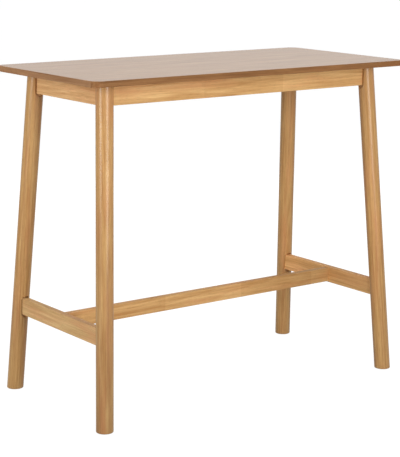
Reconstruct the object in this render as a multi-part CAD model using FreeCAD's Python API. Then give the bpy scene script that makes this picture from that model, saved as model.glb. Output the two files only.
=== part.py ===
import FreeCAD, Part
import math
import os

# Bar table: a veneered top on four splayed round legs, with aprons under the top
# and an H of stretchers near the floor.
# X runs along the table, Y from the front to the rear, and Z up from the floor,
# with the origin on the floor under the middle of the top.

Vec = FreeCAD.Vector
UP = Vec(0, 0, 1)
ORIGIN = Vec(0, 0, 0)
HALF_TURN = 180
QUARTER_TURN = 90

# Driving dimensions, in millimetres

# Whole table
table_length = 1210.0
table_width = 570.0
table_height = 1050.0

# Table top: core board, veneer on both faces, solid lipping round the edge
top_thickness = 18.0
top_corner_radius = 30.0
veneer_thickness = 0.6
lipping_thickness = 3.0
lipping_round = 1.2

# Legs: round, leaning outwards; the insets are from the edges of the top to the
# axis of the leg at the underside of the top, and the splays are how much
# further out the axis meets the floor
leg_diameter = 53.0
leg_inset_x = 93.0
leg_inset_y = 92.0
leg_splay_x = 53.0
leg_splay_y = 73.0
leg_foot_round = 2.5

# Aprons: the long ones sit a little inward of the axes of the legs
apron_thickness = 16.0
apron_height = 66.0
long_apron_setback = 3.0

# Stretchers: those at the ends sit a little inward of the axes of the legs
end_stretcher_setback = 3.0
stretcher_thickness = 22.0
end_stretcher_height = 54.0
long_stretcher_height = 48.0
stretcher_middle_height = 282.0

# Rounding of the long edges of aprons and stretchers
rail_round = 1.5

# Seats milled into the legs for the ends of the rails: slots with half-round
# ends, wider than the rails and running on past their edges
seat_least_depth = 2.0
apron_seat_clearance = 6.0
stretcher_seat_clearance = 3.0
seat_runout_below = 10.5
seat_runout_above = 6.5

# Corner blocks: distances are from the axis of the leg along the diagonal
block_height = 50.0
block_leg_clearance = 4.0
block_thickness = 28.0

# Bolts that draw each leg against its corner block
bolt_diameter = 6.0
bolt_length = 60.0
bolt_head_diameter = 11.0
bolt_head_height = 5.0
bolt_head_round = 1.5
bolt_socket_width = 5.0
bolt_socket_depth = 3.0
bolt_clearance = 0.5
bolt_spacing = 24.0
bolt_tip_room = 2.0
flat_washer_diameter = 18.0
flat_washer_thickness = 1.6
spring_washer_diameter = 11.8
spring_washer_thickness = 1.6
spring_washer_gap = 1.5
washer_bore_clearance = 0.2
insert_diameter = 10.0
insert_length = 16.0
insert_sink = 1.5
insert_wall = 0.5

# Wood screws that hold the blocks to the aprons, and both to the top
screw_diameter = 4.0
screw_head_diameter = 8.0
screw_head_height = 2.8
screw_tip_length = 4.0
screw_clearance = 0.3
screw_head_clearance = 0.5
block_screw_length = 22.0
block_screw_grip = 9.0
block_screw_edge = 12.0
top_screw_length = 30.0
top_screw_hold = 11.0
top_screw_spacing = 36.0
pocket_screw_length = 32.0
pocket_screw_hold = 10.0
pocket_angle = 10.0
long_apron_screw_spacing = 500.0

# Hidden fixings in the six stretcher ends
hanger_diameter = 6.0
hanger_clearance = 0.5
hanger_depth_in_leg = 24.0
hanger_depth_in_stretcher = 18.0
hanger_rise = 17.0
hanger_end_past_nut = 3.0
pocket_wall = 3.0
pocket_setback = 40.0
pocket_room = 1.0
half_moon_thickness = 3.0
half_moon_width = 12.0
half_moon_height = 12.0
nut_width = 10.0
nut_thickness = 5.0
dowel_diameter = 8.0
dowel_depth_in_rail = 18.0
dowel_depth_in_leg = 16.0
dowel_depth_in_stretcher = 14.0
dowel_drop = 12.0

# Glides nailed under the legs
glide_diameter = 30.0
glide_thickness = 3.0
glide_round = 0.8
nail_diameter = 2.4
nail_length = 20.0
nail_head_diameter = 6.5
nail_head_height = 1.2
nail_head_sink = 0.6

# How far a cutting shape reaches past what it cuts
overrun = 10.0


# Derived places

leg_top_z = table_height - top_thickness
leg_radius = leg_diameter / 2
diagonal = Vec(-1, -1, 0).normalize()
across = Vec(-1, 1, 0).normalize()


def leg_axis_at(height):
    """The point on the axis of the rear right leg at a height above the floor."""
    share = (leg_top_z - height) / leg_top_z
    x = table_length / 2 - leg_inset_x + leg_splay_x * share
    y = table_width / 2 - leg_inset_y + leg_splay_y * share
    return Vec(x, y, height)


apron_low_z = leg_top_z - apron_height
apron_middle = leg_axis_at(leg_top_z - apron_height / 2)
long_apron_y = apron_middle.y - long_apron_setback
end_stretcher_low_z = stretcher_middle_height - end_stretcher_height / 2
end_stretcher_middle = leg_axis_at(stretcher_middle_height) - Vec(end_stretcher_setback, 0, 0)
long_stretcher_low_z = stretcher_middle_height - long_stretcher_height / 2


apron_seat_half = apron_thickness / 2 + apron_seat_clearance
stretcher_seat_half = stretcher_thickness / 2 + stretcher_seat_clearance


def seat_reach(half_width):
    """How far from the leg's axis the end of a rail sits, at its lower edge."""
    return math.sqrt(leg_radius ** 2 - half_width ** 2) - seat_least_depth


# How far the inner faces of the aprons lie from the axes of the legs
short_apron_face = apron_thickness / 2
long_apron_face = short_apron_face + long_apron_setback

# The ends of two aprons also leave room for the insert nuts between them
insert_room = (insert_diameter / 2 + insert_wall) * math.sqrt(2)
long_apron_end_x = min(leg_axis_at(apron_low_z).x - seat_reach(apron_seat_half),
                       apron_middle.x - long_apron_face - insert_room)
short_apron_end_y = min(leg_axis_at(apron_low_z).y - seat_reach(apron_seat_half),
                        apron_middle.y - short_apron_face - insert_room)
end_stretcher_end_y = leg_axis_at(end_stretcher_low_z).y - seat_reach(stretcher_seat_half)
long_stretcher_end_x = end_stretcher_middle.x - stretcher_thickness / 2

block_near = leg_radius + block_leg_clearance
block_far = block_near + block_thickness
block_middle_z = leg_top_z - block_height / 2
bolt_heights = [block_middle_z + side * bolt_spacing / 2 for side in (-1, 1)]


# Shape helpers

# How close two heights or directions are when they count as the same
match_tolerance = 1e-6


def cylinder(radius, start, end):
    return Part.makeCylinder(radius, start.distanceToPoint(end), start, end - start)


def block_between(low, high):
    return Part.makeBox(high.x - low.x, high.y - low.y, high.z - low.z, low)


def straight_edges_along(shape, direction):
    found = []
    for edge in shape.Edges:
        if isinstance(edge.Curve, Part.Line):
            if edge.Curve.Direction.cross(direction).Length < match_tolerance:
                found.append(edge)
    return found


def edges_at_height(shape, height):
    found = []
    for edge in shape.Edges:
        box = edge.BoundBox
        if max(abs(box.ZMin - height), abs(box.ZMax - height)) < match_tolerance:
            found.append(edge)
    return found


def rounded_board(length, width, radius, low_z, high_z):
    """A flat board in plan, centred on the origin, with round corners."""
    board = block_between(Vec(-length / 2, -width / 2, low_z), Vec(length / 2, width / 2, high_z))
    return board.makeFillet(radius, straight_edges_along(board, UP))


def placed(shape, point, direction):
    """A copy of a shape made along +Z from the origin, turned and moved into place."""
    copy = shape.copy()
    copy.Placement = FreeCAD.Placement(point, FreeCAD.Rotation(UP, direction))
    return copy


def revolved(outline):
    """A solid turned about Z from points given as radius and height."""
    points = [Vec(radius, 0, height) for radius, height in outline]
    face = Part.Face(Part.makePolygon(points + [points[0]]))
    return face.revolve(ORIGIN, UP, 2 * HALF_TURN)


def hexagon(width, low_z, high_z):
    """A six-sided bar along Z, measured across its flats."""
    reach = width / math.sqrt(3)
    turns = [math.pi / 3 * corner for corner in range(7)]
    points = [Vec(reach * math.cos(turn), reach * math.sin(turn), low_z) for turn in turns]
    return Part.Face(Part.makePolygon(points)).extrude(Vec(0, 0, high_z - low_z))


def in_corner(shape, side_x, side_y):
    """The copy of a rear right shape that belongs to another corner."""
    moved = shape.copy()
    if side_x < 0:
        moved = moved.mirror(ORIGIN, Vec(1, 0, 0))
    if side_y < 0:
        moved = moved.mirror(ORIGIN, Vec(0, 1, 0))
    return moved


corners = {"front_left": (-1, -1), "front_right": (1, -1), "rear_left": (-1, 1), "rear_right": (1, 1)}


def in_all_corners(shape):
    return [in_corner(shape, side_x, side_y) for side_x, side_y in corners.values()]


# Fasteners, each made along +Z from the face that its head rests on

def socket_bolt():
    head = Part.makeCylinder(bolt_head_diameter / 2, bolt_head_height, Vec(0, 0, -bolt_head_height))
    head = head.makeFillet(bolt_head_round, edges_at_height(head, -bolt_head_height))
    socket = hexagon(bolt_socket_width, -bolt_head_height - overrun, bolt_socket_depth - bolt_head_height)
    shank = Part.makeCylinder(bolt_diameter / 2, bolt_length)
    return head.cut(socket).fuse(shank).removeSplitter()


def flat_washer():
    ring = Part.makeCylinder(flat_washer_diameter / 2, flat_washer_thickness)
    return ring.cut(Part.makeCylinder(bolt_diameter / 2 + washer_bore_clearance, flat_washer_thickness))


def spring_washer():
    ring = Part.makeCylinder(spring_washer_diameter / 2, spring_washer_thickness)
    ring = ring.cut(Part.makeCylinder(bolt_diameter / 2 + washer_bore_clearance, spring_washer_thickness))
    split = block_between(Vec(0, -spring_washer_gap / 2, 0),
                          Vec(spring_washer_diameter, spring_washer_gap / 2, spring_washer_thickness))
    return ring.cut(split)


def insert_nut():
    sleeve = Part.makeCylinder(insert_diameter / 2, insert_length)
    return sleeve.cut(Part.makeCylinder(bolt_diameter / 2, insert_length))


def wood_screw(length):
    """A pan-head wood screw with a pointed end."""
    shank = screw_diameter / 2
    rim = screw_head_diameter / 2
    half_head = screw_head_height / 2
    return revolved([(0, -screw_head_height), (rim - half_head, -screw_head_height), (rim, -half_head),
                     (rim, 0), (shank, 0), (shank, length - screw_tip_length), (0, length)])


def wood_screw_way(grip, reach_back):
    """The clearance hole and the counterbore of a wood screw in the piece that it passes through."""
    hole = Part.makeCylinder(screw_diameter / 2 + screw_clearance, grip)
    bore_radius = screw_head_diameter / 2 + screw_head_clearance
    bore = Part.makeCylinder(bore_radius, reach_back, Vec(0, 0, -reach_back))
    return hole.fuse(bore)


def glide():
    disc = Part.makeCylinder(glide_diameter / 2, glide_thickness)
    disc = disc.makeFillet(glide_round, edges_at_height(disc, 0))
    recess = Part.makeCylinder(nail_head_diameter / 2, nail_head_sink + nail_head_height)
    return disc.cut(recess).cut(Part.makeCylinder(nail_diameter / 2, glide_thickness))


def glide_nail():
    head = Part.makeCylinder(nail_head_diameter / 2, nail_head_height, Vec(0, 0, nail_head_sink))
    return head.fuse(Part.makeCylinder(nail_diameter / 2, nail_length, Vec(0, 0, nail_head_sink)))


# Hidden fixing in the end of a stretcher: the frame of these shapes has its
# origin in the end face of the stretcher, at its middle and on its underside,
# with +X pointing out of the end and into the piece that carries it

pocket_radius = stretcher_thickness / 2 - pocket_wall
half_moon_flat_x = -pocket_setback + pocket_radius - half_moon_thickness
hanger_tail_x = half_moon_flat_x - nut_thickness - hanger_end_past_nut


def along_x(radius, from_x, to_x, height):
    return cylinder(radius, Vec(from_x, 0, height), Vec(to_x, 0, height))


def hanger_bolt(depth):
    return along_x(hanger_diameter / 2, hanger_tail_x, depth, hanger_rise)


leg_hanger = hanger_bolt(hanger_depth_in_leg)
long_hanger = hanger_bolt(hanger_depth_in_stretcher)


def stretcher_nut():
    nut = hexagon(nut_width, 0, nut_thickness)
    nut = nut.cut(Part.makeCylinder(hanger_diameter / 2, nut_thickness))
    return placed(nut, Vec(half_moon_flat_x - nut_thickness, 0, hanger_rise), Vec(1, 0, 0))


def half_moon_washer():
    low = hanger_rise - half_moon_height / 2
    round_bar = Part.makeCylinder(pocket_radius, half_moon_height, Vec(-pocket_setback, 0, low))
    keep = block_between(Vec(half_moon_flat_x, -half_moon_width / 2, low),
                         Vec(0, half_moon_width / 2, low + half_moon_height))
    bore = along_x(hanger_diameter / 2 + washer_bore_clearance, half_moon_flat_x - overrun, 0, hanger_rise)
    return round_bar.common(keep).cut(bore)


def dowel(depth, stretcher_height):
    return along_x(dowel_diameter / 2, -dowel_depth_in_rail, depth, stretcher_height - dowel_drop)


leg_end_dowel = dowel(dowel_depth_in_leg, end_stretcher_height)
long_end_dowel = dowel(dowel_depth_in_stretcher, long_stretcher_height)


def stretcher_end_way(end_dowel):
    """What the fixing takes out of the stretcher."""
    bore = along_x(hanger_diameter / 2 + hanger_clearance, -pocket_setback, overrun, hanger_rise)
    pocket_top = hanger_rise + half_moon_height / 2 + pocket_room
    pocket = cylinder(pocket_radius, Vec(-pocket_setback, 0, -overrun), Vec(-pocket_setback, 0, pocket_top))
    return Part.makeCompound([bore.fuse(pocket), end_dowel])


def at_leg_end(shape):
    """Into the rear end of the right end stretcher."""
    copy = shape.copy()
    point = Vec(end_stretcher_middle.x, end_stretcher_end_y, end_stretcher_low_z)
    copy.Placement = FreeCAD.Placement(point, FreeCAD.Rotation(UP, QUARTER_TURN)).multiply(copy.Placement)
    return copy


def at_long_end(shape):
    """Into the right end of the long stretcher."""
    copy = shape.copy()
    point = Vec(long_stretcher_end_x, 0, long_stretcher_low_z)
    copy.Placement = FreeCAD.Placement(point, FreeCAD.Rotation()).multiply(copy.Placement)
    return copy


# Fasteners in the rear right corner under the top

def corner_point(distance, height, sideways=0):
    """A point under the top, by its distance from the leg's axis along the diagonal."""
    flat = Vec(apron_middle.x, apron_middle.y, 0)
    return flat + diagonal * distance + across * sideways + Vec(0, 0, height)


def on_bolt_axes(shape, distance):
    return [placed(shape, corner_point(distance, height), -diagonal) for height in bolt_heights]


flat_washer_face = block_far + flat_washer_thickness
spring_washer_face = flat_washer_face + spring_washer_thickness
insert_face = leg_radius - insert_sink

corner_bolts = on_bolt_axes(socket_bolt(), spring_washer_face)
corner_spring_washers = on_bolt_axes(spring_washer(), spring_washer_face)
corner_flat_washers = on_bolt_axes(flat_washer(), flat_washer_face)
corner_inserts = on_bolt_axes(insert_nut(), insert_face)


def block_screw_seats():
    """Where the two screws that hold a block to its aprons start, and which way they go."""
    reach = block_far * math.sqrt(2) - block_screw_edge
    middle = Vec(apron_middle.x, apron_middle.y, block_middle_z)
    into_long = middle - Vec(reach - long_apron_face, long_apron_face + block_screw_grip, 0)
    into_short = middle - Vec(short_apron_face + block_screw_grip, reach - short_apron_face, 0)
    return [(into_long, Vec(0, 1, 0)), (into_short, Vec(1, 0, 0))]


block_screws = [placed(wood_screw(block_screw_length), point, way) for point, way in block_screw_seats()]

top_screw_grip = top_screw_length - top_screw_hold
block_middle = (block_near + block_far) / 2
top_screw_seats = [corner_point(block_middle, leg_top_z - top_screw_grip, side * top_screw_spacing / 2)
                   for side in (-1, 1)]
top_corner_screws = [placed(wood_screw(top_screw_length), point, UP) for point in top_screw_seats]


# Pocket screws through the aprons: a screw leans from the inner face of the
# apron towards the middle of its upper edge

pocket_lean = math.radians(pocket_angle)
pocket_screw_grip = pocket_screw_length - pocket_screw_hold


def pocket_way(inward):
    """The direction of a pocket screw, for the side of the table that its apron faces into."""
    return UP * math.cos(pocket_lean) - inward * math.sin(pocket_lean)


def pocket_seat(edge_point, inward):
    """The point under the head of a pocket screw that leaves the apron at a point of its upper edge."""
    return edge_point - pocket_way(inward) * pocket_screw_grip


inward_y = Vec(0, -1, 0)
inward_x = Vec(-1, 0, 0)
rear_edge_points = [Vec(side * long_apron_screw_spacing / 2, long_apron_y, leg_top_z) for side in (-1, 1)]
right_edge_point = Vec(apron_middle.x, 0, leg_top_z)


def pocketed(shape, edge_point, inward):
    return placed(shape, pocket_seat(edge_point, inward), pocket_way(inward))


pocket_screw = wood_screw(pocket_screw_length)
pocket_hole = wood_screw_way(pocket_screw_grip + overrun, apron_height)
rear_pocket_screws = [pocketed(pocket_screw, point, inward_y) for point in rear_edge_points]
right_pocket_screw = pocketed(pocket_screw, right_edge_point, inward_x)
rear_pocket_holes = [pocketed(pocket_hole, point, inward_y) for point in rear_edge_points]
right_pocket_hole = pocketed(pocket_hole, right_edge_point, inward_x)


# Everything that holds the top, for all four sides
all_top_corner_screws = [copy for screw in top_corner_screws for copy in in_all_corners(screw)]
all_pocket_screws = [in_corner(screw, 1, side) for screw in rear_pocket_screws for side in (-1, 1)]
all_pocket_screws += [in_corner(right_pocket_screw, side, 1) for side in (-1, 1)]


# Table top

def make_top():
    """Core, two veneers and the lipping."""
    underside = leg_top_z
    inner_length = table_length - 2 * lipping_thickness
    inner_width = table_width - 2 * lipping_thickness
    inner_radius = top_corner_radius - lipping_thickness

    def inner(low_z, high_z):
        return rounded_board(inner_length, inner_width, inner_radius, low_z, high_z)

    whole = rounded_board(table_length, table_width, top_corner_radius, underside, table_height)
    rims = edges_at_height(whole, underside) + edges_at_height(whole, table_height)
    whole = whole.makeFillet(lipping_round, rims)
    screws = Part.makeCompound(all_top_corner_screws + all_pocket_screws)
    core = inner(underside + veneer_thickness, table_height - veneer_thickness)
    backing = inner(underside, underside + veneer_thickness)
    return {
        "top_lipping": whole.cut(inner(underside - overrun, table_height + overrun)),
        "top_core": core.cut(screws),
        "top_veneer": inner(table_height - veneer_thickness, table_height),
        "top_backing_veneer": backing.cut(screws),
    }


# Legs

def seat_cutter(end, inward, half_width, low_z, high_z):
    """The flat-bottomed slot that takes the end of a rail, with half-round ends."""
    side = UP.cross(inward)
    low_turn = low_z + half_width
    high_turn = high_z - half_width

    def at(sideways, height):
        return Vec(end.x, end.y, height) + side * sideways

    outline = Part.Wire([
        Part.Arc(at(-half_width, low_turn), at(0, low_z), at(half_width, low_turn)).toShape(),
        Part.makeLine(at(half_width, low_turn), at(half_width, high_turn)),
        Part.Arc(at(half_width, high_turn), at(0, high_z), at(-half_width, high_turn)).toShape(),
        Part.makeLine(at(-half_width, high_turn), at(-half_width, low_turn)),
    ])
    return Part.Face(outline).extrude(inward * leg_diameter)


def make_leg():
    """The rear right leg, with its three seats and the holes for its fixings."""
    foot = leg_axis_at(glide_thickness)
    head = leg_axis_at(leg_top_z)
    lean = (head - foot).normalize()
    bar = cylinder(leg_radius, foot - lean * leg_diameter, head + lean * leg_diameter)
    slab = block_between(Vec(0, 0, glide_thickness), Vec(table_length, table_width, leg_top_z))
    leg = bar.common(slab)
    leg = leg.makeFillet(leg_foot_round, edges_at_height(leg, glide_thickness))

    apron_seat_top = leg_top_z + apron_seat_half + overrun
    long_seat = seat_cutter(Vec(long_apron_end_x, apron_middle.y, 0), inward_x, apron_seat_half,
                            apron_low_z - seat_runout_below, apron_seat_top)
    short_seat = seat_cutter(Vec(apron_middle.x, short_apron_end_y, 0), inward_y, apron_seat_half,
                             apron_low_z - seat_runout_below, apron_seat_top)
    stretcher_seat = seat_cutter(Vec(end_stretcher_middle.x, end_stretcher_end_y, 0), inward_y,
                                 stretcher_seat_half, end_stretcher_low_z - seat_runout_below,
                                 end_stretcher_low_z + end_stretcher_height + seat_runout_above)
    for seat in (long_seat, short_seat, stretcher_seat):
        leg = leg.cut(seat)

    for height in bolt_heights:
        tip = corner_point(spring_washer_face - bolt_length - bolt_tip_room, height)
        insert_end = corner_point(insert_face - insert_length, height)
        outside = corner_point(block_near, height)
        leg = leg.cut(cylinder(bolt_diameter / 2 + bolt_clearance, tip, insert_end))
        leg = leg.cut(cylinder(insert_diameter / 2, insert_end, outside))
    leg = leg.cut(at_leg_end(leg_hanger))
    leg = leg.cut(at_leg_end(leg_end_dowel))
    return leg.cut(placed(glide_nail(), leg_axis_at(0), UP))


# Aprons and stretchers

def rail(length, thickness, height, low_z):
    """A bar along X, centred on the origin, with its long edges eased."""
    far_corner = Vec(length / 2, thickness / 2, low_z + height)
    bar = block_between(Vec(-length / 2, -thickness / 2, low_z), far_corner)
    return bar.makeFillet(rail_round, straight_edges_along(bar, Vec(1, 0, 0)))


def turned(shape):
    copy = shape.copy()
    copy.rotate(ORIGIN, UP, QUARTER_TURN)
    return copy


def moved(shape, x, y):
    copy = shape.copy()
    copy.translate(Vec(x, y, 0))
    return copy


def both_ways(shape, side_x, side_y):
    """A shape and its mirror image."""
    return [shape, in_corner(shape, side_x, side_y)]


def make_rear_apron():
    apron = moved(rail(2 * long_apron_end_x, apron_thickness, apron_height, apron_low_z), 0, long_apron_y)
    for cutter in both_ways(block_screws[0], -1, 1) + rear_pocket_holes:
        apron = apron.cut(cutter)
    return apron


def make_right_apron():
    bar = turned(rail(2 * short_apron_end_y, apron_thickness, apron_height, apron_low_z))
    apron = moved(bar, apron_middle.x, 0)
    for cutter in both_ways(block_screws[1], 1, -1) + [right_pocket_hole]:
        apron = apron.cut(cutter)
    return apron


def make_right_stretcher():
    length = 2 * end_stretcher_end_y
    bar = turned(rail(length, stretcher_thickness, end_stretcher_height, end_stretcher_low_z))
    bar = moved(bar, end_stretcher_middle.x, 0)
    for way in both_ways(at_leg_end(stretcher_end_way(leg_end_dowel)), 1, -1):
        bar = bar.cut(way)
    bar = bar.cut(at_long_end(long_hanger))
    return bar.cut(at_long_end(long_end_dowel))


def make_long_stretcher():
    bar = rail(2 * long_stretcher_end_x, stretcher_thickness, long_stretcher_height, long_stretcher_low_z)
    for way in both_ways(at_long_end(stretcher_end_way(long_end_dowel)), -1, 1):
        bar = bar.cut(way)
    return bar


# Corner blocks

def make_corner_block():
    """A block across the rear right corner, against the inner faces of both aprons."""
    near = block_near * math.sqrt(2)
    far = block_far * math.sqrt(2)
    plan = [(near - long_apron_face, long_apron_face), (far - long_apron_face, long_apron_face),
            (short_apron_face, far - short_apron_face), (short_apron_face, near - short_apron_face)]
    points = [Vec(apron_middle.x - x, apron_middle.y - y, leg_top_z - block_height) for x, y in plan]
    block = Part.Face(Part.makePolygon(points + [points[0]])).extrude(Vec(0, 0, block_height))
    for height in bolt_heights:
        block = block.cut(cylinder(bolt_diameter / 2 + bolt_clearance, corner_point(0, height),
                                   corner_point(block_far + overrun, height)))
    for point, way in block_screw_seats():
        block = block.cut(placed(wood_screw_way(block_screw_grip, block_thickness), point, way))
    for point in top_screw_seats:
        block = block.cut(placed(wood_screw_way(top_screw_grip, block_height), point, UP))
    return block


# All nodes

def build():
    nodes = make_top()

    leg = make_leg()
    block = make_corner_block()
    foot_glide = placed(glide(), leg_axis_at(0), UP)
    for name, (side_x, side_y) in corners.items():
        nodes["leg_" + name] = in_corner(leg, side_x, side_y)
        nodes["corner_block_" + name] = in_corner(block, side_x, side_y)
        nodes["glide_" + name] = in_corner(foot_glide, side_x, side_y)

    rear_apron = make_rear_apron()
    right_apron = make_right_apron()
    right_stretcher = make_right_stretcher()
    nodes["apron_rear"] = rear_apron
    nodes["apron_front"] = in_corner(rear_apron, 1, -1)
    nodes["apron_right"] = right_apron
    nodes["apron_left"] = in_corner(right_apron, -1, 1)
    nodes["stretcher_right"] = right_stretcher
    nodes["stretcher_left"] = in_corner(right_stretcher, -1, 1)
    nodes["stretcher_long"] = make_long_stretcher()

    quarter_fasteners = {
        "corner_bolts": corner_bolts,
        "corner_spring_washers": corner_spring_washers,
        "corner_flat_washers": corner_flat_washers,
        "leg_insert_nuts": corner_inserts,
        "corner_block_screws": block_screws,
        "glide_nails": [placed(glide_nail(), leg_axis_at(0), UP)],
    }
    for name, solids in quarter_fasteners.items():
        nodes[name] = Part.makeCompound([copy for solid in solids for copy in in_all_corners(solid)])
    nodes["top_corner_screws"] = Part.makeCompound(all_top_corner_screws)
    nodes["top_pocket_screws"] = Part.makeCompound(all_pocket_screws)

    stretcher_fixings = {
        "stretcher_hanger_bolts": (leg_hanger, long_hanger),
        "stretcher_nuts": (stretcher_nut(), stretcher_nut()),
        "stretcher_half_moon_washers": (half_moon_washer(), half_moon_washer()),
        "stretcher_dowels": (leg_end_dowel, long_end_dowel),
    }
    for name, (leg_piece, long_piece) in stretcher_fixings.items():
        solids = in_all_corners(at_leg_end(leg_piece)) + both_ways(at_long_end(long_piece), -1, 1)
        nodes[name] = Part.makeCompound(solids)
    return nodes


os.makedirs("parts", exist_ok=True)
for node, shape in build().items():
    shape.exportStep("parts/" + node + ".step")
    print(node, len(shape.Solids), "solids", round(shape.Volume), "mm3", "valid", shape.isValid())
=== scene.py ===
import math
from collections import namedtuple

import bpy
from mathutils import Matrix, Vector


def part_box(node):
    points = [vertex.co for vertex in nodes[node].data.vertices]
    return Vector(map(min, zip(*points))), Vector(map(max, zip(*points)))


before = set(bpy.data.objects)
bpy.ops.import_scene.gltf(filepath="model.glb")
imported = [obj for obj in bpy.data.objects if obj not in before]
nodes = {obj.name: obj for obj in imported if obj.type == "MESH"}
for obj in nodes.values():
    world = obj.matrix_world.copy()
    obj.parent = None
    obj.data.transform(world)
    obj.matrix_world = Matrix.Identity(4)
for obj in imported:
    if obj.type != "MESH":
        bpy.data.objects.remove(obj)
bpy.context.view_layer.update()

# Lengths are in metres, powers in watts, and colours and levels are linear, with white at 1

# Camera at the photograph's viewing angle: its place and turn, how far it sees, its focal length in pixels
# of a picture of this height, and its sensor in millimetres
CAMERA_PLACE = (-2.8971, -3.8482, 1.5187)
CAMERA_AZIMUTH = math.radians(-36.802)
CAMERA_ELEVATION = math.radians(-11.848)
CAMERA_ROLL = math.radians(0.457)
CAMERA_REACH = 200
FOCAL_PIXELS = 1506.6
IMAGE_HEIGHT = 457
SENSOR_WIDTH = 36.0

# Floor: its colour and its glow, each for camera rays, for glossy and transmission rays, and for diffuse
# rays
FLOOR_HALF_WIDTH = 60.0
FLOOR_COLOR = (0.14, 0.18, 0.32)
FLOOR_GLOW = (0.955, 0.45, 0.0)

# World: its level for camera rays, and the one that lights the table
WORLD_SEEN = 1.0
WORLD_LIGHT = 0.36

# Backdrop that gloss sees in the world: white low down towards +X, a little dimmer elsewhere and dimmest
# above. For Z and X of a direction: the bounds between which the level changes, and its levels at these
BACKDROP_Z = (0.10, 0.26)
BACKDROP_Z_LEVELS = (1.0, 0.66)
BACKDROP_X = (0.50, 0.68)
BACKDROP_X_LEVELS = (0.95, 1.0)

# Softboxes: where each hangs, what it points at, its size and power, and whether gloss mirrors it
Softbox = namedtuple("Softbox", "name place target width height power mirrored")
SOFTBOXES = (
    Softbox("left_softbox", place=(-3.9, -0.5, 1.5), target=(-0.5, 0, 1.0), width=1.6, height=1.9, power=66,
            mirrored=True),
    Softbox("right_softbox", place=(-0.35, -3.2, 1.4), target=(0, 0, 1.0), width=1.4, height=2.2, power=66,
            mirrored=True),
    Softbox("rear_softbox", place=(2.4, 3.2, 1.1), target=(0, 0, 0.8), width=3.6, height=0.7, power=72,
            mirrored=False),
    Softbox("top_softbox", place=(0, 0, 3.6), target=(0, 0, 0.5), width=3.0, height=2.0, power=27,
            mirrored=True),
)

# Woods: the red is a tint that comes and goes, and the depths say how strongly rings and figures show
Wood = namedtuple("Wood", "dark light red ring_spacing ring_depth figure_depth "
                          "roughness specular coat coat_roughness")
HONEY = Wood(dark=(0.43, 0.20, 0.055), light=(0.66, 0.385, 0.138), red=(0.60, 0.25, 0.092),
             ring_spacing=0.009, ring_depth=0.30, figure_depth=1.0,
             roughness=0.5, specular=0.3, coat=0.5, coat_roughness=0.2)
RAIL_HONEY = HONEY._replace(dark=(0.43, 0.21, 0.068), light=(0.66, 0.40, 0.165), red=(0.60, 0.265, 0.11),
                            figure_depth=0.8, roughness=0.6, specular=0.2, coat=0.1)
WALNUT = Wood(dark=(0.355, 0.182, 0.082), light=(0.595, 0.35, 0.168), red=(0.50, 0.253, 0.118),
              ring_spacing=0.016, ring_depth=0.20, figure_depth=0.8,
              roughness=0.4, specular=0.5, coat=0.5, coat_roughness=0.2)
EDGE_WALNUT = WALNUT._replace(dark=(0.20, 0.085, 0.028), light=(0.35, 0.17, 0.064), red=(0.33, 0.135, 0.05),
                              roughness=0.6, specular=0.15, coat=0.0)
BLOCK = HONEY._replace(dark=(0.50, 0.31, 0.15), light=(0.66, 0.46, 0.26), red=(0.60, 0.36, 0.20),
                       roughness=0.65, coat=0.0)
WOOD_IOR = 1.5

# Figures: the length and width of their grains, the shift that sets each apart from the others, the detail
# and roughness of their noise, and how strongly each works on the tone, the colour or the rings
Figure = namedtuple("Figure", "length width shift detail rough depth")
PATCHES = Figure(length=0.20, width=0.035, shift=7.7, detail=3.0, rough=0.5, depth=0.9)
STREAKS = Figure(length=0.36, width=0.010, shift=9.2, detail=2.0, rough=0.6, depth=1.6)
THREADS = Figure(length=0.11, width=0.0035, shift=4.6, detail=2.0, rough=0.6, depth=1.6)
FIBRES = Figure(length=0.08, width=0.0013, shift=1.3, detail=3.0, rough=0.6, depth=0.8)
PORES = Figure(length=0.020, width=0.0007, shift=5.9, detail=1.0, rough=0.5, depth=0.35)
REDNESS = Figure(length=0.22, width=0.03, shift=12.4, detail=2.0, rough=0.5, depth=2.2)
WANDER = Figure(length=0.9, width=0.2, shift=3.1, detail=2.0, rough=0.5, depth=0.05)

# What noise is on average, and the tone half way between the dark and the light of a wood
MEAN_NOISE = 0.5
MEAN_TONE = 0.5

# Rings: how far they draw in towards the pith for each metre of grain, their tones from one ring to the next,
# each after its place, and the mean of these
RING_TAPER = 0.012
RING_STOPS = ((0.0, 0.0), (0.55, 0.45), (0.84, 1.0), (1.0, 0.0))
MEAN_RING = 0.42

# Pores: the levels of noise at which they start and are full, and their level against the dark of the wood
PORE_STOPS = ((0.10, 0.0), (0.18, 1.0))
PORE_LEVEL = 0.55

# How far the red reaches past half of the wood, and how far the tones of staves lie apart
RED_BIAS = 0.02
STAVE_DEPTH = 0.25

# Relief: how high the fibres stand against the depth of the pores, how much they roughen the wood, and how
# strongly the relief shows
FIBRE_RELIEF = 0.5
FIBRE_ROUGHNESS = 0.15
RELIEF_STRENGTH = 0.25
RELIEF_DISTANCE = 0.0002

# Seeds set the figure of each piece in a group apart: the first seed and the step to the next, and the share
# of a seed by which noise shifts across the grain
Seeds = namedtuple("Seeds", "first step")
SEED_ACROSS_SHARE = 0.7

# A fade is a tone at the start of the grain and the distance over which it gives way to the full one
Fade = namedtuple("Fade", "tone reach")

# Legs: how far their axes lean out along X and Y from head to floor, the fade of each, which is painted shade
# that darkens it towards the floor where the light falls off, with some of the wood's own tone in it, and the
# pith that its rings run about, with the step from one leg to the next
LEG_LEAN_X = 0.053
LEG_LEAN_Y = 0.073
LEG_PAINTED_SHADES = {
    "front_left": Fade(tone=0.72, reach=0.85),
    "front_right": Fade(tone=0.88, reach=0.55),
    "rear_left": Fade(tone=0.87, reach=0.60),
    "rear_right": Fade(tone=0.90, reach=0.55),
}
LEG_PITH = (0.03, -0.05)
LEG_PITH_STEP = 0.01
LEG_SEEDS = Seeds(first=0.4, step=1.7)
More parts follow.
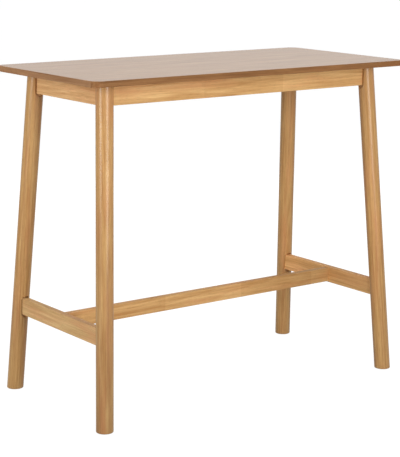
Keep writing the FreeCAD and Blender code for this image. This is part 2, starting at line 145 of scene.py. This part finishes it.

# Rails: the tone of each with painted light in it, brighter on the faces that the softboxes light and greyer
# on the left-facing ones as a painted sheen, and its fade where it has one. The long ones are joined from
# staves
Rail = namedtuple("Rail", "tint fade", defaults=(None,))
LONG_RAILS = {
    "apron_front": Rail((1.34, 1.41, 1.49)),
    "apron_rear": Rail((1.2, 1.2, 1.2)),
    "stretcher_long": Rail((1.27, 1.29, 1.31), Fade(tone=0.74, reach=0.36)),
}
LONG_RAIL_SEEDS = Seeds(first=0.9, step=2.3)
STAVE_LENGTH = 0.31
SHORT_RAILS = {
    "apron_left": Rail((1.41, 1.46, 1.67)),
    "apron_right": Rail((1.2, 1.2, 1.2)),
    "stretcher_left": Rail((1.24, 1.39, 1.57)),
    "stretcher_right": Rail((1.20, 1.18, 1.18), Fade(tone=1.35, reach=0.25)),
}
SHORT_RAIL_SEEDS = Seeds(first=0.2, step=3.1)

# Pith, and tone without painted light, of the pieces that have none of their own
PLAIN_PITH = (0.05, 0.02)
PLAIN_TONE_AND_LIGHT = (1, 1, 1)

# Top: the wood of each layer, and how deep the strips across its ends are, with the painted light and painted
# sheen that make them brighter and greyer
TOP_WOODS = {"top_veneer": WALNUT, "top_backing_veneer": WALNUT, "top_lipping": EDGE_WALNUT,
             "top_core": BLOCK}
TOP_SEEDS = Seeds(first=4.4, step=1.9)
TOP_PITH = (0.1, -0.04)
LIPPING_END_DEPTH = 0.001
LIPPING_END_PAINTED_LIGHT = (1.32, 1.48, 1.90)

# All corner blocks share one wood and all dowels another: where their grain starts, and their seeds
BLOCK_PLACE = (0, 0, 1.0)
BLOCK_SEED = 7.7
DOWEL_PLACE = (0, 0, 0.3)
DOWEL_SEED = 8.8

# Steel and nylon, with a fine grit that brings tones down to its darkest one and roughens them
STEEL_COLOR = (0.62, 0.62, 0.60)
STEEL_ROUGHNESS = 0.3
NYLON_COLOR = (0.05, 0.04, 0.035)
NYLON_ROUGHNESS = 0.45
GRIT_SCALE = 900.0
GRIT_DETAIL = 2.0
GRIT_DARKEST = 0.8
GRIT_ROUGHNESS = 0.2
STEEL_PIECES = (
    "corner_bolts", "corner_spring_washers", "corner_flat_washers", "leg_insert_nuts", "corner_block_screws",
    "top_corner_screws", "top_pocket_screws", "stretcher_hanger_bolts", "stretcher_nuts",
    "stretcher_half_moon_washers", "glide_nails",
)

# The sockets of a Mix node that blend colours: its factor and the two colours, and the result
MIX_INPUTS = (0, 6, 7)
MIX_OUTPUT = 2


def scaled(color, tint=PLAIN_TONE_AND_LIGHT, level=1.0):
    """A colour times a tone that may hold painted light, and a level, with its alpha."""
    return tuple(value * share * level for value, share in zip(color, tint)) + (1,)


def grey(tone):
    return (tone, tone, tone, 1.0)


WHITE = grey(1.0)


class Graph:
    """The nodes of one material or world."""

    def __init__(self, tree):
        self.tree = tree
        tree.nodes.clear()

    def feed(self, socket, value):
        """Gives an input another node's output, or a plain value."""
        if isinstance(value, bpy.types.NodeSocket):
            self.tree.links.new(value, socket)
        else:
            socket.default_value = value

    def add(self, kind, inputs=None, **settings):
        node = self.tree.nodes.new(kind)
        for key, value in settings.items():
            setattr(node, key, value)
        for key, value in (inputs or {}).items():
            self.feed(node.inputs[key], value)
        return node

    def math(self, operation, *values):
        return self.add("ShaderNodeMath", dict(enumerate(values)), operation=operation).outputs[0]

    def clamp(self, value):
        return self.add("ShaderNodeClamp", {"Value": value}).outputs[0]

    def split(self, vector):
        return self.add("ShaderNodeSeparateXYZ", {"Vector": vector}).outputs

    def span(self, value, start_and_end, first_and_last):
        """A level that goes from the first to the last while the value goes from start to end."""
        start, end = start_and_end
        first, last = first_and_last
        return self.add("ShaderNodeMapRange", {"Value": value, "From Min": start, "From Max": end,
                                               "To Min": first, "To Max": last}).outputs[0]

    def ramp(self, factor, stops):
        """A tone that passes through these stops, each a place and its tone."""
        node = self.add("ShaderNodeValToRGB", {"Fac": factor})
        elements = node.color_ramp.elements
        while len(elements) < len(stops):
            elements.new(1.0)
        for element, (place, tone) in zip(elements, stops):
            element.position = place
            element.color = grey(tone)
        return node.outputs["Color"]

    def mix(self, factor, low, high, blend="MIX"):
        node = self.add("ShaderNodeMix", data_type="RGBA", blend_type=blend)
        for index, value in zip(MIX_INPUTS, (factor, low, high)):
            self.feed(node.inputs[index], value)
        return node.outputs[MIX_OUTPUT]

    def multiply(self, color, other):
        return self.mix(1.0, color, other, "MULTIPLY")

    def seen(self, camera, gloss, other):
        """A level for camera rays, one for glossy and transmission rays, and one for diffuse rays."""
        path = self.add("ShaderNodeLightPath")
        mirrored = self.math("MAXIMUM", path.outputs["Is Glossy Ray"], path.outputs["Is Transmission Ray"])
        level = self.math("MULTIPLY_ADD", mirrored, self.math("SUBTRACT", gloss, other), other)
        return self.math("MULTIPLY_ADD", path.outputs["Is Camera Ray"], camera - other, level)


def new_material(name):
    material = bpy.data.materials.new(name)
    material.use_nodes = True
    return material


# Camera, floor and light

def make_camera():
    data = bpy.data.cameras.new("photo_camera")
    data.sensor_width = SENSOR_WIDTH
    data.lens = FOCAL_PIXELS * SENSOR_WIDTH / IMAGE_HEIGHT
    data.clip_end = CAMERA_REACH
    camera = bpy.data.objects.new("photo_camera", data)
    turn = (Matrix.Rotation(CAMERA_AZIMUTH, 4, "Z")
            @ Matrix.Rotation(math.pi / 2 + CAMERA_ELEVATION, 4, "X")
            @ Matrix.Rotation(CAMERA_ROLL, 4, "Z"))
    camera.matrix_world = Matrix.Translation(CAMERA_PLACE) @ turn
    bpy.context.scene.collection.objects.link(camera)
    bpy.context.scene.camera = camera


def make_world():
    """A white world for the camera, a plain light for the table and a backdrop for gloss."""
    world = bpy.data.worlds.new("studio")
    bpy.context.scene.world = world
    world.use_nodes = True
    graph = Graph(world.node_tree)
    way = graph.split(graph.add("ShaderNodeTexCoord").outputs["Generated"])
    above = graph.span(way["Z"], BACKDROP_Z, BACKDROP_Z_LEVELS)
    beside = graph.span(way["X"], BACKDROP_X, BACKDROP_X_LEVELS)
    strength = graph.seen(WORLD_SEEN, graph.math("MULTIPLY", above, beside), WORLD_LIGHT)
    light = graph.add("ShaderNodeBackground", {"Color": WHITE, "Strength": strength})
    graph.add("ShaderNodeOutputWorld", {"Surface": light.outputs[0]})


def make_floor():
    """A pale floor that takes shadows, and that the camera sees as white through its glow."""
    half = FLOOR_HALF_WIDTH
    corners = [(-half, -half, 0), (half, -half, 0), (half, half, 0), (-half, half, 0)]
    mesh = bpy.data.meshes.new("floor")
    mesh.from_pydata(corners, [], [(0, 1, 2, 3)])
    floor = bpy.data.objects.new("floor", mesh)
    bpy.context.scene.collection.objects.link(floor)
    material = new_material("pale_floor")
    graph = Graph(material.node_tree)
    matt = graph.add("ShaderNodeBsdfDiffuse", {"Color": graph.seen(*FLOOR_COLOR)})
    glow = graph.add("ShaderNodeEmission", {"Color": WHITE, "Strength": graph.seen(*FLOOR_GLOW)})
    both = graph.add("ShaderNodeAddShader", {0: matt.outputs[0], 1: glow.outputs[0]})
    graph.add("ShaderNodeOutputMaterial", {"Surface": both.outputs[0]})
    mesh.materials.append(material)


def make_softbox(softbox):
    data = bpy.data.lights.new(softbox.name, "AREA")
    data.shape = "RECTANGLE"
    data.size = softbox.width
    data.size_y = softbox.height
    data.energy = softbox.power
    light = bpy.data.objects.new(softbox.name, data)
    light.location = softbox.place
    aim = Vector(softbox.target) - Vector(softbox.place)
    light.rotation_euler = aim.to_track_quat("-Z", "Y").to_euler()
    light.visible_camera = False
    light.visible_glossy = softbox.mirrored
    bpy.context.scene.collection.objects.link(light)


# Wood

def local_frame(along, across):
    """Turns of a piece whose grain runs along one direction, as Euler angles."""
    x = Vector(along).normalized()
    z = x.cross(Vector(across)).normalized()
    y = z.cross(x)
    return Matrix((x, y, z)).transposed().to_euler()


def seed_at(seeds, index):
    return seeds.step * index + seeds.first


class WoodGraph(Graph):
    """The nodes of a wood whose grain starts at a place and runs along one direction, its local X."""

    def __init__(self, tree, place, along, across, seed):
        super().__init__(tree)
        self.seed = seed
        coordinates = self.add("ShaderNodeTexCoord").outputs["Object"]
        self.local = self.add("ShaderNodeMapping", {
            "Vector": coordinates, "Location": place, "Rotation": local_frame(along, across)},
            vector_type="TEXTURE").outputs[0]

    def turn_ends(self, start):
        """Turns the grain of the strips that lie past this distance, and says where they are."""
        before = self.split(self.local)
        at_end = self.math("GREATER_THAN", self.math("ABSOLUTE", before["X"]), start)
        turned = self.add("ShaderNodeCombineXYZ", {"X": before["Y"], "Y": before["X"], "Z": before["Z"]})
        self.local = self.mix(at_end, self.local, turned.outputs[0])
        return at_end

    def noise(self, figure):
        """Noise about zero, with the grains of this figure."""
        grains = (1 / figure.length, 1 / figure.width, 1 / figure.width)
        shift = (self.seed + figure.shift, self.seed * SEED_ACROSS_SHARE, figure.shift)
        spread = self.add("ShaderNodeMapping", {"Vector": self.local, "Scale": grains, "Location": shift})
        value = self.add("ShaderNodeTexNoise", {"Vector": spread.outputs[0], "Scale": 1.0,
                                                "Detail": figure.detail, "Roughness": figure.rough})
        return self.math("SUBTRACT", value.outputs["Fac"], MEAN_NOISE)

    def rings(self, spacing, pith):
        """Growth rings about a pith, which draw in along the grain and wander."""
        place = self.split(self.local)
        wander = self.math("MULTIPLY", self.noise(WANDER), WANDER.depth)
        taper = self.math("MULTIPLY_ADD", place["X"], RING_TAPER, wander)
        squares = [self.math("POWER", self.math("SUBTRACT", place[axis], middle), 2.0)
                   for axis, middle in zip("YZ", pith)]
        distance = self.math("SQRT", self.math("ADD", *squares))
        phase = self.math("FRACT", self.math("DIVIDE", self.math("ADD", distance, taper), spacing))
        return self.ramp(phase, RING_STOPS)

    def along_grain(self):
        return self.split(self.local)["X"]

    def stave_tone(self, tone, length):
        """Gives each of the staves that a rail is joined from a tone of its own."""
        staves = self.math("DIVIDE", self.math("ADD", self.along_grain(), self.seed), length)
        count = self.math("FLOOR", staves)
        chance = self.add("ShaderNodeTexWhiteNoise", {"W": count}, noise_dimensions="1D").outputs["Value"]
        return self.math("MULTIPLY_ADD", self.math("SUBTRACT", chance, MEAN_NOISE), STAVE_DEPTH, tone)

    def fade(self, color, fade):
        share = self.clamp(self.math("DIVIDE", self.along_grain(), fade.reach))
        return self.multiply(color, self.mix(share, grey(fade.tone), WHITE))


def make_wood(name, wood, place, along, across, seed, pith=PLAIN_PITH, stave=0.0, tint=PLAIN_TONE_AND_LIGHT,
              fade=None, ends=None):
    """Wood with rings about a pith line, figure, fibres and pores.

    stave is the length of the staves that a rail is joined from, and tint multiplies the colours by
    the piece's tone, which holds painted light: brighter where a face is lit more, greyer as a painted sheen.
    fade makes them darker or lighter where the grain starts, on the legs as painted shade towards the floor.
    ends is the distance at which the strips across the ends start, whose grain is turned, and the painted
    light that brightens and greys them.
    """
    material = new_material(name)
    graph = WoodGraph(material.node_tree, place, along, across, seed)
    if ends:
        start, end_painted_light = ends
        at_end = graph.turn_ends(start)

    rings = graph.math("SUBTRACT", graph.rings(wood.ring_spacing, pith), MEAN_RING)
    tone = graph.math("MULTIPLY_ADD", rings, wood.ring_depth, MEAN_TONE)
    patterns = {figure: graph.noise(figure) for figure in (PATCHES, STREAKS, THREADS, FIBRES)}
    for figure, pattern in patterns.items():
        tone = graph.math("MULTIPLY_ADD", pattern, figure.depth * wood.figure_depth, tone)
    if stave:
        tone = graph.stave_tone(tone, stave)

    # The colours are multiplied by the piece's tone, which on the rails holds painted light and painted sheen
    color = graph.mix(tone, scaled(wood.dark, tint), scaled(wood.light, tint))
    redness = graph.math("MULTIPLY", graph.math("ADD", graph.noise(REDNESS), RED_BIAS), REDNESS.depth)
    color = graph.mix(graph.clamp(redness), color, scaled(wood.red, tint))
    pores = graph.ramp(graph.noise(PORES), PORE_STOPS)
    color = graph.mix(graph.math("MULTIPLY", pores, PORES.depth), color, scaled(wood.dark, tint, PORE_LEVEL))
    # Painted shade: on the legs the fade darkens the wood towards the floor
    if fade:
        color = graph.fade(color, fade)
    # Painted light: the strips across the ends of the lipping are brightened and greyed
    if ends:
        color = graph.multiply(color, graph.mix(at_end, WHITE, scaled(end_painted_light)))

    fibres = patterns[FIBRES]
    relief = graph.math("SUBTRACT", graph.math("MULTIPLY", fibres, FIBRE_RELIEF), pores)
    bump = graph.add("ShaderNodeBump", {"Height": relief, "Strength": RELIEF_STRENGTH,
                                        "Distance": RELIEF_DISTANCE})
    surface = graph.add("ShaderNodeBsdfPrincipled", {
        "Base Color": color, "Roughness": graph.math("MULTIPLY_ADD", fibres, FIBRE_ROUGHNESS, wood.roughness),
        "Normal": bump.outputs[0], "IOR": WOOD_IOR, "Specular IOR Level": wood.specular,
        "Coat Weight": wood.coat, "Coat Roughness": wood.coat_roughness})
    graph.add("ShaderNodeOutputMaterial", {"Surface": surface.outputs[0]})
    return material


def make_gritty(name, color, roughness, metallic):
    """Steel or nylon with a fine grit."""
    material = new_material(name)
    graph = Graph(material.node_tree)
    coordinates = graph.add("ShaderNodeTexCoord").outputs["Object"]
    grit = graph.add("ShaderNodeTexNoise", {"Vector": coordinates, "Scale": GRIT_SCALE,
                                            "Detail": GRIT_DETAIL}).outputs["Fac"]
    surface = graph.add("ShaderNodeBsdfPrincipled", {
        "Base Color": graph.mix(grit, scaled(color, level=GRIT_DARKEST), scaled(color)), "Metallic": metallic,
        "Roughness": graph.math("MULTIPLY_ADD", grit, GRIT_ROUGHNESS, roughness)})
    graph.add("ShaderNodeOutputMaterial", {"Surface": surface.outputs[0]})
    return material


# Dressing the pieces

def dress(node, material):
    mesh = nodes[node].data
    mesh.materials.clear()
    mesh.materials.append(material)


def dress_legs():
    """Legs, with their grain along their axes, which start in the middle of the underside of their glides."""
    for index, (corner, fade) in enumerate(LEG_PAINTED_SHADES.items()):
        low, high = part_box("glide_" + corner)
        foot = (low + high) / 2
        foot.z = low.z
        side_x = math.copysign(1, foot.x)
        side_y = math.copysign(1, foot.y)
        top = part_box("leg_" + corner)[1].z
        axis = (-LEG_LEAN_X * side_x, -LEG_LEAN_Y * side_y, top - foot.z)
        pith = (LEG_PITH[0] + LEG_PITH_STEP * index, LEG_PITH[1])
        # Each leg's fade is painted shade, darker towards the floor where the light falls off
        material = make_wood("leg_wood_" + corner, HONEY, place=foot, along=axis, across=(side_x, -side_y, 0),
                             seed=seed_at(LEG_SEEDS, index), pith=pith, fade=fade)
        dress("leg_" + corner, material)


def dress_rails(rails, axis, seeds, stave=0.0):
    """Rails along one axis of the table, 0 or 1. Their grain starts at the far end and runs back."""
    along = Vector()
    along[axis] = -1
    across = Vector()
    across[1 - axis] = 1
    for index, (name, rail) in enumerate(rails.items()):
        low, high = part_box(name)
        start = (low + high) / 2
        start[axis] = high[axis]
        # Each rail's tone holds painted light and painted sheen for how brightly its face is lit
        dress(name, make_wood("wood_" + name, RAIL_HONEY, place=start, along=along, across=across,
                              seed=seed_at(seeds, index), stave=stave, tint=rail.tint, fade=rail.fade))


def dress_top():
    """The layers of the top, with their grain along the table, but across it at the ends of the lipping."""
    for index, (name, wood) in enumerate(TOP_WOODS.items()):
        low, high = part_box(name)
        # The ends of the lipping get painted light and painted sheen, brighter and greyer than its sides
        ends = (high.x - LIPPING_END_DEPTH, LIPPING_END_PAINTED_LIGHT) if name == "top_lipping" else None
        dress(name, make_wood("wood_" + name, wood, place=(0, 0, high.z), along=(1, 0, 0), across=(0, 1, 0),
                              seed=seed_at(TOP_SEEDS, index), pith=TOP_PITH, ends=ends))


def dress_fixings():
    steel = make_gritty("zinc_plated_steel", STEEL_COLOR, STEEL_ROUGHNESS, metallic=1.0)
    nylon = make_gritty("nylon", NYLON_COLOR, NYLON_ROUGHNESS, metallic=0.0)
    block = make_wood("block_wood", BLOCK, BLOCK_PLACE, along=(1, 1, 0), across=(1, -1, 0), seed=BLOCK_SEED)
    dowel = make_wood("dowel_wood", BLOCK, DOWEL_PLACE, along=(0, 1, 0), across=(1, 0, 0), seed=DOWEL_SEED)
    for name in STEEL_PIECES:
        dress(name, steel)
    for corner in LEG_PAINTED_SHADES:
        dress("corner_block_" + corner, block)
        dress("glide_" + corner, nylon)
    dress("stretcher_dowels", dowel)


bpy.context.scene.view_settings.view_transform = "Standard"
make_camera()
make_world()
make_floor()
for softbox in SOFTBOXES:
    make_softbox(softbox)
dress_legs()
dress_rails(LONG_RAILS, axis=0, seeds=LONG_RAIL_SEEDS, stave=STAVE_LENGTH)
dress_rails(SHORT_RAILS, axis=1, seeds=SHORT_RAIL_SEEDS)
dress_top()
dress_fixings()
